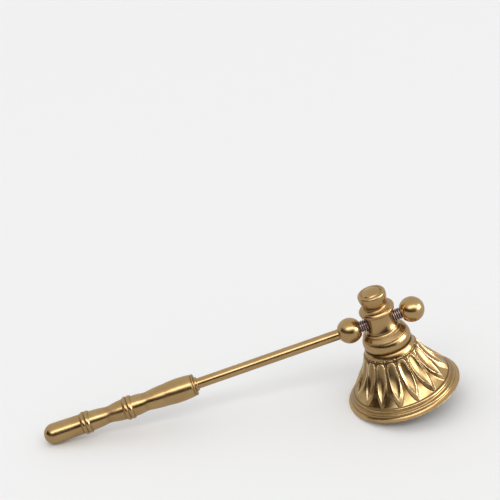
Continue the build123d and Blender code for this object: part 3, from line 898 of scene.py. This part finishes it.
def makeBell():
    # Each array has a row for each row of the outline, and one leaf's columns or a single one
    outline, run, relieved = bellOutline()
    edge = leafEdge(*outline[relieved].T, run[relieved])
    height, radius = outline[:, :1], outline[:, 1:]
    halfPitch = pi / leaf["count"] * radius
    slope = ramp(height, *leaf["bevelRamp"])
    width = leaf["wall"] + (leaf["bevel"] - leaf["wall"]) * slope
    s = leafColumns(height[:, 0], halfPitch[:, 0], relieved, width[:, 0])
    relieved = relieved[:, None]

    # Signed distance from the leaf's outline, laid flat, positive inside
    across = np.abs(s) * halfPitch
    along = np.broadcast_to(run[:, None], across.shape)
    spots = np.column_stack([across.ravel(), along.ravel()])
    away = np.concatenate([
        np.sqrt(((part[:, None, :] - edge[None, :, :]) ** 2).sum(2)).min(1)
        for part in np.array_split(spots, leaf["batches"])
    ]).reshape(across.shape)
    inside = across < np.interp(along, edge[:, 1], edge[:, 0], left=-1, right=-1)
    fromEdge = np.where(inside, away, -away)
    fromGap = (1 - np.abs(s)) * halfPitch

    # Leaf: a wall up to the crest, and a round hollow inside it
    rise = leaf["rise"] + (leaf["tipRise"] - leaf["rise"]) * slope
    climb = rise * np.clip(fromEdge / width, 0, 1)
    hollowHalf = np.interp(height, leaf["hollowAt"], leaf["hollowHalf"])
    scoop = np.clip((fromEdge - width) / hollowHalf, 0, 1)
    depth = np.interp(height, leaf["hollowAt"], leaf["hollow"])
    leafRelief = climb - depth * (1 - (1 - scoop) ** 2)

    # Gap: a groove with a thin blade in it, and above it a fine arch round each leaf and a dot
    reach = ramp(height, *leaf["bladeTop"]) * ramp(height, *leaf["bladeFoot"])
    blade = np.clip(1 - (fromGap / leaf["bladeHalf"]) ** 2, 0, 1) * reach
    groove = ramp(height, *leaf["grooveFoot"]) * ramp(height, *leaf["grooveTop"])
    arch = np.clip(1 - ((-fromEdge - leaf["archAway"]) / leaf["archHalf"]) ** 2, 0, 1)
    arch = leaf["archHeight"] * arch * ramp(height, *leaf["archRamp"])
    dot = np.hypot(fromGap, height - leaf["dotAt"]) / leaf["dotR"]
    gapRelief = np.maximum(leaf["blade"] * blade - leaf["groove"] * groove, arch)
    gapRelief = np.maximum(gapRelief, leaf["dotHeight"] * np.sqrt(np.clip(1 - dot ** 2, 0, 1)))
    relief = np.where(inside, leafRelief, gapRelief) * relieved

    # Painted shade: dark in the gaps, on the steep walls, in the hollows and in the rim's grooves,
    # with some grime in the grooves and some tarnish in the hollows
    steep = ramp(height, *paintedShadeAndHighlight["wallRamp"]) * (height < paintedShadeAndHighlight["wallTop"])
    band = ramp(height, *paintedShadeAndHighlight["bandRamp"]) * ~inside * (height > paintedShadeAndHighlight["bandFoot"])
    dark = np.maximum(np.where(fromEdge < width, steep, 0.0) * (1 - blade), band)
    full = np.where(inside, paintedShadeAndHighlight["leafFull"], paintedShadeAndHighlight["gapFull"])
    low = np.clip((full - relief) / paintedShadeAndHighlight["over"], 0, 1) * relieved * dark
    low = np.maximum(low, recessOf(outline, True, bell["recessReach"])[:, None] * ~relieved)
    outside = radius > bell["crownR"] - bell["outsideMargin"]
    for place, shadeReach, much in bell["shadeAndGrime"]:
        shadeAndDirt = softStep(bell["shadeSpread"] - np.abs(height - place) / shadeReach)
        low = np.maximum(low, much * shadeAndDirt * outside)
    hollowDarkening = paintedShadeAndHighlight["hollowShade"] * scoop * inside * ramp(height, *paintedShadeAndHighlight["hollowRamp"])
    low = np.maximum(low, hollowDarkening * relieved)

    # Bright on the crests: partly wear where hands have polished them, partly a painted highlight
    crest = np.clip(1 - (np.abs(fromEdge - width) / paintedShadeAndHighlight["crestHalf"]) ** 2, 0, 1) * inside
    wornAndHighlight = crest * relieved * ramp(height, *paintedShadeAndHighlight["crestRamp"])

    # The relief stands square to the outline
    tangent = np.gradient(np.vstack([outline[-1:], outline, outline[:1]]), axis=0)[1:-1]
    tangent /= np.linalg.norm(tangent, axis=1)[:, None]
    normal = np.column_stack([-tangent[:, 1], tangent[:, 0]])
    normal *= np.sign(normal[np.argmax(height < leaf["narrowsFrom"]), 1])
    relief, low, wornAndHighlight = (np.tile(part, (1, leaf["count"])) for part in (relief, low, wornAndHighlight))
    turns = (np.arange(leaf["count"])[:, None] + 0.5) * 2 + s[:, None, :]
    angles = (turns * pi / leaf["count"]).reshape(relief.shape)
    distance, reachOut = height + relief * normal[:, :1], radius + relief * normal[:, 1:]
    grid = roundGrid(distance, reachOut, angles, bellWay)
    values = {"along": np.broadcast_to(height, relief.shape), "recess": low, "wornAndHighlight": wornAndHighlight}
    print("bell grid:", grid.shape[0], "rows by", grid.shape[1], "columns")
    return buildMesh("leafBell", grid, True, values)


settle(makeBell(), "bell", "swinging_bell", "cast_brass")


# Floor, light and camera

studio = {
    "floorColour": (0.90, 0.90, 0.90), "floorMirrored": (0.62, 0.62, 0.62), "floorRough": 0.9,
    "worldColour": (0.835, 0.835, 0.835), "worldMirrored": (0.70, 0.70, 0.70),
    "backdrop": (0.88, 0.88, 0.88), "floorMetres": 60.0,
}
# Lamps: power, the panel's two sides in metres, azimuth, elevation, and distance in metres
lamps = {
    "keyLight": (530.0, (21.0, 3.2), 4.0, 50.0, 14.0),
    "shineLight": (1550.0, (21.0, 3.2), 4.0, 50.0, 14.0),
    "fillLight": (1100.0, (9.0, 6.0), 70.0, 22.0, 14.0),
}
metalOnly = ("shineLight", "fillLight")
# The card's distance and lower edge are in metres, and its top is an elevation
card = {
    "colour": (0.030, 0.015, 0.006), "rough": 1.0, "distance": 1.3, "spread": (-100.0, 34.0),
    "low": 0.02, "high": 31.0, "columns": 40,
}
camera = {
    "place": (-88.94, -603.4, 344.5), "azimuth": 3.01, "elevation": 26.45, "roll": -5.38,
    "lens": 108.2, "clipMetres": 0.01,
}


def plainMaterial(name, colour, rough):
    material = bpy.data.materials.new(name)
    material.use_nodes = True
    shader = material.node_tree.nodes["Principled BSDF"]
    shader.inputs["Base Color"].default_value = (*colour, 1)
    shader.inputs["Roughness"].default_value = rough
    shader.inputs["Specular IOR Level"].default_value = 0.0
    return material


def plainSheet(name, points, faces, material):
    mesh = bpy.data.meshes.new(name)
    mesh.from_pydata(points, [], faces)
    sheet = bpy.data.objects.new(name, mesh)
    bpy.context.scene.collection.objects.link(sheet)
    sheet.data.materials.append(material)
    return sheet


def makeFloor():
    # The metal mirrors the floor darker than the camera sees it
    s, half = studio, studio["floorMetres"] / 2
    paint = plainMaterial("paleFloor", s["floorColour"], s["floorRough"])
    tree = paint.node_tree
    path = newNode(tree, "ShaderNodeLightPath")
    seen = mixed(tree, s["floorColour"], s["floorMirrored"], path.outputs["Is Glossy Ray"])
    tree.links.new(seen, tree.nodes["Principled BSDF"].inputs["Base Color"])
    corners = [(-half, -half, 0), (half, -half, 0), (half, half, 0), (-half, half, 0)]
    floor = plainSheet("floor", corners, [(0, 1, 2, 3)], paint)


def makeCard():
    # A dark curved card in front, as a photographer stands one beside a camera to give metal its
    # dark edge. Only the metal sees it.
    count = card["columns"]
    turns = np.radians(np.linspace(*card["spread"], count))
    top = card["distance"] * np.tan(np.radians(card["high"]))
    points = [
        np.column_stack([
            np.sin(turns) * card["distance"], -np.cos(turns) * card["distance"],
            np.full(count, height),
        ])
        for height in (card["low"], top)
    ]
    step = np.arange(count - 1)
    faces = np.column_stack([step, step + 1, step + 1 + count, step + count])
    brown = plainMaterial("cardBrown", card["colour"], card["rough"])
    sheet = plainSheet("darkCard", np.vstack(points).tolist(), faces.tolist(), brown)
    sheet.visible_camera = False
    sheet.visible_diffuse = False
    sheet.visible_shadow = False


def softbox(name, power, size, azimuth, elevation, distance):
    # A lit panel that looks at the swivel. Azimuth 0 is in front, towards -Y, and 90 towards +X.
    lamp = bpy.data.lights.new(name, "AREA")
    lamp.shape = "RECTANGLE"
    lamp.size, lamp.size_y = size
    lamp.energy = power
    box = bpy.data.objects.new(name, lamp)
    bpy.context.scene.collection.objects.link(box)
    a, e = np.radians(azimuth), np.radians(elevation)
    way = Vector((np.sin(a) * np.cos(e), -np.cos(a) * np.cos(e), np.sin(e)))
    box.location = Vector(swivel) + distance * way
    box.rotation_euler = (Vector(swivel) - box.location).to_track_quat("-Z", "Y").to_euler()
    box.visible_diffuse = name not in metalOnly


def makeWorld():
    # The sky lights the scene, looks duller in the metal and is a pale backdrop to the camera
    s = studio
    world = bpy.data.worlds.new("studio")
    world.use_nodes = True
    tree = world.node_tree
    path = newNode(tree, "ShaderNodeLightPath")
    sky = mixed(tree, s["worldColour"], s["worldMirrored"], path.outputs["Is Glossy Ray"])
    sky = mixed(tree, sky, s["backdrop"], path.outputs["Is Camera Ray"])
    tree.links.new(sky, tree.nodes["Background"].inputs["Color"])
    bpy.context.scene.world = world
    bpy.context.scene.view_settings.view_transform = "Standard"


def makeCamera():
    # The camera looks along forward, and its roll turns it about that line
    a, e, roll = (np.radians(camera[key]) for key in ("azimuth", "elevation", "roll"))
    forward = Vector((np.sin(a) * np.cos(e), np.cos(a) * np.cos(e), -np.sin(e)))
    level = forward.cross(Vector((0, 0, 1))).normalized()
    upright = level.cross(forward)
    right = level * np.cos(roll) + upright * np.sin(roll)
    up = right.cross(forward)
    data = bpy.data.cameras.new("camera")
    data.lens = camera["lens"]
    data.clip_start = camera["clipMetres"]
    eye = bpy.data.objects.new("camera", data)
    bpy.context.scene.collection.objects.link(eye)
    eye.matrix_world = Matrix((right, up, -forward)).transposed().to_4x4()
    eye.location = Vector(swivel) + Vector(camera["place"]) * mm
    bpy.context.scene.camera = eye


makeFloor()
makeCard()
for lampName, settings in lamps.items():
    softbox(lampName, *settings)
makeWorld()
makeCamera()
print("studio and camera made")
